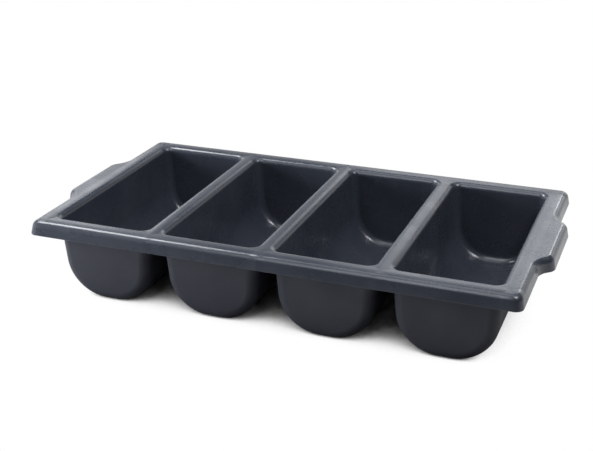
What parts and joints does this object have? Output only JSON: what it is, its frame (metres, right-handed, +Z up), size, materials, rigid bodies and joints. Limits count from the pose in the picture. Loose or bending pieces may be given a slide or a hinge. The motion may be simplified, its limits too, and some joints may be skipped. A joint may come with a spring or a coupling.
{
  "type": "cutlery tray",
  "caption": "Rectangular cutlery tray moulded in grey plastic, with round-bottomed bins side by side under a flat skirted rim and a grip lug at each end.",
  "frame": {"origin": "on the table under the middle of the tray, level with the strips that the bins stand on", "axes": "+X along the row of bins, +Y from the front rim to the rear rim, +Z up through the open mouths"},
  "size_m": [0.5338, 0.2886, 0.089],
  "materials": {
    "grey_plastic": "satin moulded polypropylene, dark grey all through"
  },
  "bodies": {
    "root": {"front_rim": "grey_plastic", "rear_rim": "grey_plastic", "left_rim": "grey_plastic", "right_rim": "grey_plastic", "left_handle": "grey_plastic", "right_handle": "grey_plastic", "left_divider": "grey_plastic", "middle_divider": "grey_plastic", "right_divider": "grey_plastic", "bin_1": "grey_plastic", "bin_2": "grey_plastic", "bin_3": "grey_plastic", "bin_4": "grey_plastic"}
  },
  "joints": []
}
